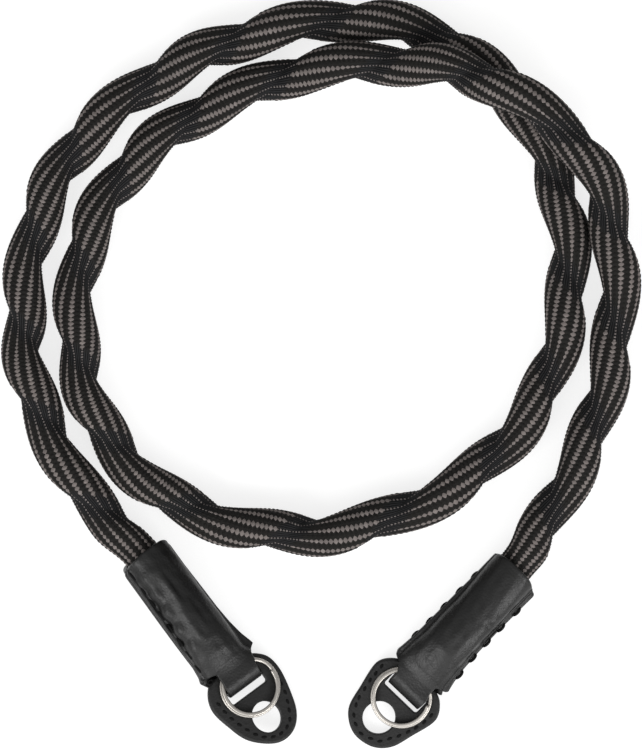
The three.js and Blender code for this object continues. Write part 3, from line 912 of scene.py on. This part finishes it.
def makeTab(end):
    look, shape = tabLook, tabShapes[end["name"]]
    middle, gap = look["top"] - look["thickness"] / 2, look["partLine"] / 2
    bm = bmesh.new()
    for bottom, top in ((look["top"] - look["thickness"], middle - gap), (middle + gap, look["top"])):
        layer = bmesh.new()
        around = tabLayer(layer, shape, bottom, top)
        bmesh.ops.recalc_face_normals(layer, faces=layer.faces)
        outside = top if top == look["top"] else bottom  # the outer rims of both layers are skived wider
        rims = [e for e in layer.edges if len(e.link_faces) == 2 and e.calc_face_angle(0) > 1.2]
        wide = [e for e in rims if onOuterRim(e, around, outside)]
        narrow = [e for e in rims if e not in wide]
        for edges, offset, segments in ((narrow, look["roundEdge"], 3), (wide, look["rimEdge"], 4)):
            kept = [e for e in edges if e.is_valid]
            bmesh.ops.bevel(layer, geom=kept, offset=offset, segments=segments, profile=0.5,
                            affect="EDGES", material=-1)
        part = bpy.data.meshes.new("layer")
        layer.to_mesh(part)
        layer.free()
        bm.from_mesh(part)
        bpy.data.meshes.remove(part)
    bmesh.ops.translate(bm, verts=bm.verts, vec=(0, -foldCentre, 0))
    place = hangingPlace(end)
    bmesh.ops.transform(bm, matrix=place, verts=bm.verts)
    upwards = (place.to_3x3() @ Vector((0, 0, 1))).normalized()
    mesh = meshFromBmesh("eyelet_tab_" + end["name"], bm, upwards)
    piece = addPiece("eyelet_tab_" + end["name"], mesh, tabLeather)
    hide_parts("tab_" + end["name"])
    return piece


for end in (leftEnd, rightEnd):
    makeTab(end)
print("tabs done")

# Split rings: a flat wire with round edges, wound almost twice round,
# whose upper coil crosses down to the lower one
ringLook = {
    "outer": 9.0, "wide": 1.15, "thick": 0.78, "step": 0.45, "drop": 0.85, "seat": 0.3, "turns": 1.85,
    "crossStart": 0.86, "crossEnd": 0.97, "steps": 96, "round": 0.36,
}
ringPlaces = {"right": (0.1, -0.6, 28), "left": (1, -0.6, 2)}


def makeRing(end):
    look = ringLook
    x, y, start = ringPlaces[end["name"]]
    bm = bmesh.new()
    wire = bmesh.ops.create_grid(bm, x_segments=1, y_segments=1, size=0.5)["verts"]
    bmesh.ops.scale(bm, verts=wire, vec=(look["wide"], look["thick"], 1))
    bmesh.ops.bevel(bm, geom=wire, offset=look["round"], segments=3, profile=0.5,
                    affect="VERTICES", material=-1)
    bmesh.ops.delete(bm, geom=bm.faces[:], context="FACES_ONLY")
    bmesh.ops.rotate(bm, verts=bm.verts, cent=(0, 0, 0), matrix=Matrix.Rotation(math.pi / 2, 3, "X"))
    upperRadius = look["outer"] - look["wide"] / 2 - look["step"]
    bmesh.ops.translate(bm, verts=bm.verts, vec=(upperRadius, 0, 0))
    bmesh.ops.rotate(bm, verts=bm.verts, cent=(0, 0, 0), matrix=Matrix.Rotation(math.radians(start), 3, "Z"))
    first = edges = bm.edges[:]
    count = round(look["turns"] * look["steps"])
    onwards = Matrix.Rotation(-2 * math.pi * look["turns"] / count, 3, "Z")
    cross = 0.0
    for i in range(1, count + 1):
        made = bmesh.ops.extrude_edge_only(bm, edges=edges)["geom"]
        edges = [g for g in made if isinstance(g, bmesh.types.BMEdge)]
        verts = [g for g in made if isinstance(g, bmesh.types.BMVert)]
        turns = look["turns"] * i / count
        bmesh.ops.rotate(bm, verts=verts, cent=(0, 0, 0), matrix=onwards)
        crossed = float(smoothstep(turns, look["crossStart"], look["crossEnd"]))
        angle = math.radians(start - 360 * turns)
        outwards = Vector((math.cos(angle), math.sin(angle), 0)) * look["step"] * (crossed - cross)
        bmesh.ops.translate(bm, verts=verts, vec=outwards - Vector((0, 0, look["drop"] * (crossed - cross))))
        cross = crossed
    bmesh.ops.contextual_create(bm, geom=first)
    bmesh.ops.contextual_create(bm, geom=edges)
    level = tabLook["top"] + look["seat"] + look["thick"] / 2 + look["drop"]
    bmesh.ops.translate(bm, verts=bm.verts, vec=(x, y - foldCentre, level))
    bmesh.ops.transform(bm, matrix=hangingPlace(end), verts=bm.verts)
    mesh = meshFromBmesh("split_ring_" + end["name"], bm)
    piece = addPiece("split_ring_" + end["name"], mesh, steel)
    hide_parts("ring_" + end["name"])
    return piece


for end in (leftEnd, rightEnd):
    makeRing(end)
print("rings done")

# Sewing: thread lumps along the sleeves' edges, a knot at the left shoulder, and the stitches of the tabs
sewingLook = {
    "thread": 0.42, "lumpLength": 3.5, "bow": 0.55, "stitchLong": 1.65, "stitchWide": 0.9, "stitchHigh": 0.4,
    "slant": 12,
}
edgeLumps = {
    "right": [
        *(("left", y) for y in (39.7, 33.5, 27.2, 21.2, 15.4)),
        *(("right", y) for y in (40.5, 34, 28, 22, 15.8)),
    ],
    "left": [("seam", y) for y in (45, 40.4, 35.8, 31.2, 26.6, 22, 17.4, 12.8)],
}


def threadTube(bm, points, radius, sides=8):
    points = np.asarray(points, float)
    ahead = np.gradient(points, axis=0)
    ahead /= np.linalg.norm(ahead, axis=1, keepdims=True)
    guide = np.array([0.31, 0.17, 0.93])
    side = np.cross(ahead, guide)
    side /= np.linalg.norm(side, axis=1, keepdims=True)
    up = np.cross(ahead, side)
    taper = np.sqrt(np.clip(1 - np.abs(np.linspace(-1, 1, len(points))) ** 6, 0.02, 1))
    rings = []
    for i, middle in enumerate(points):
        ring = []
        for k in range(sides):
            turn = 2 * math.pi * k / sides
            spoke = side[i] * math.cos(turn) + up[i] * math.sin(turn)
            ring.append(bm.verts.new(middle + spoke * radius * taper[i]))
        rings.append(ring)
    for a, b in zip(rings, rings[1:]):
        for k in range(sides):
            bm.faces.new((a[k], a[(k + 1) % sides], b[(k + 1) % sides], b[k]))
    bm.faces.new(rings[0][::-1])
    bm.faces.new(rings[-1])


def makeSewing(end):
    look, name = sewingLook, end["name"]
    profile = stripProfile(name)
    along = profile["along"][::-1]

    def column(key, y):
        return float(np.interp(y, along, profile[key][::-1]))

    bm = bmesh.new()
    for side, y in edgeLumps[name]:
        share = np.linspace(-1, 1, 9)
        ys = y + share * look["lumpLength"] / 2
        bow = look["bow"] * (1 - share ** 2)
        seam, roll = column("seam", y), column("roll", y)
        if side == "seam":
            x = column("centre", y) - column("barrel", y) - 0.1 + 0 * ys
            z = seam + 1.25 + 0.2 * (1 - share ** 2)
        elif side == "left":
            x = column("left", y) + 0.45 - bow
            z = seam + 0.4 * bow
        else:
            x = column("right", y) + 0.2 + bow
            z = seam + 0.4 + 0.6 * bow
        points = leaning(end, np.stack([x, ys, z], -1), roll)
        threadTube(bm, points, look["thread"] * mm)
    if name == "left":  # the thread's end, knotted at the shoulder
        turn = np.linspace(0, 4.2 * math.pi, 40)
        across, along = -7.8 + 0.85 * np.cos(turn), 7.3 + 0.6 * np.sin(turn)
        knot = np.stack([across, along, 5.9 + 0.3 * np.sin(0.5 * turn)], -1)
        threadTube(bm, leaning(end, knot, 12), 0.3 * mm)
        bend = np.linspace(-1, 1, 14)
        arc = np.stack([-6.8 + 1.5 * bend, 8.9 - 0.5 * bend ** 2, 6.1 + 0.2 * (1 - bend ** 2)], -1)
        threadTube(bm, leaning(end, arc, 12), 0.26 * mm)
    place = hangingPlace(end)
    shape = tabShapes[name]
    for i, (x, y) in enumerate(shape["stitches"]):
        before = Vector(shape["stitches"][max(0, i - 1)])
        after = Vector(shape["stitches"][min(len(shape["stitches"]) - 1, i + 1)])
        heading = after - before
        turn = math.atan2(heading.y, heading.x) + math.radians(look["slant"])
        spot = Matrix.Translation((x, y - foldCentre, tabLook["top"] + 0.02))
        spot = spot @ Matrix.Rotation(turn, 4, "Z")
        size = Matrix.Diagonal((look["stitchLong"] / 2, look["stitchWide"] / 2, look["stitchHigh"] / 2, 1))
        bmesh.ops.create_uvsphere(bm, u_segments=10, v_segments=6, radius=1, matrix=place @ spot @ size)
    piece = addPiece("thread_" + name, meshFromBmesh("thread_" + name, bm), thread)
    return piece


for end in (leftEnd, rightEnd):
    makeSewing(end)
print("sewing done")

# Floor
bm = bmesh.new()
bmesh.ops.create_grid(bm, x_segments=2, y_segments=2, size=3)
bmesh.ops.translate(bm, verts=bm.verts, vec=(0, 0, -0.0002))
floorMesh = meshFromBmesh("floor", bm)
floor = bpy.data.objects.new("floor", floorMesh)
scene.collection.objects.link(floor)
floorMesh.materials.append(floorMaterial())
print("floor done")
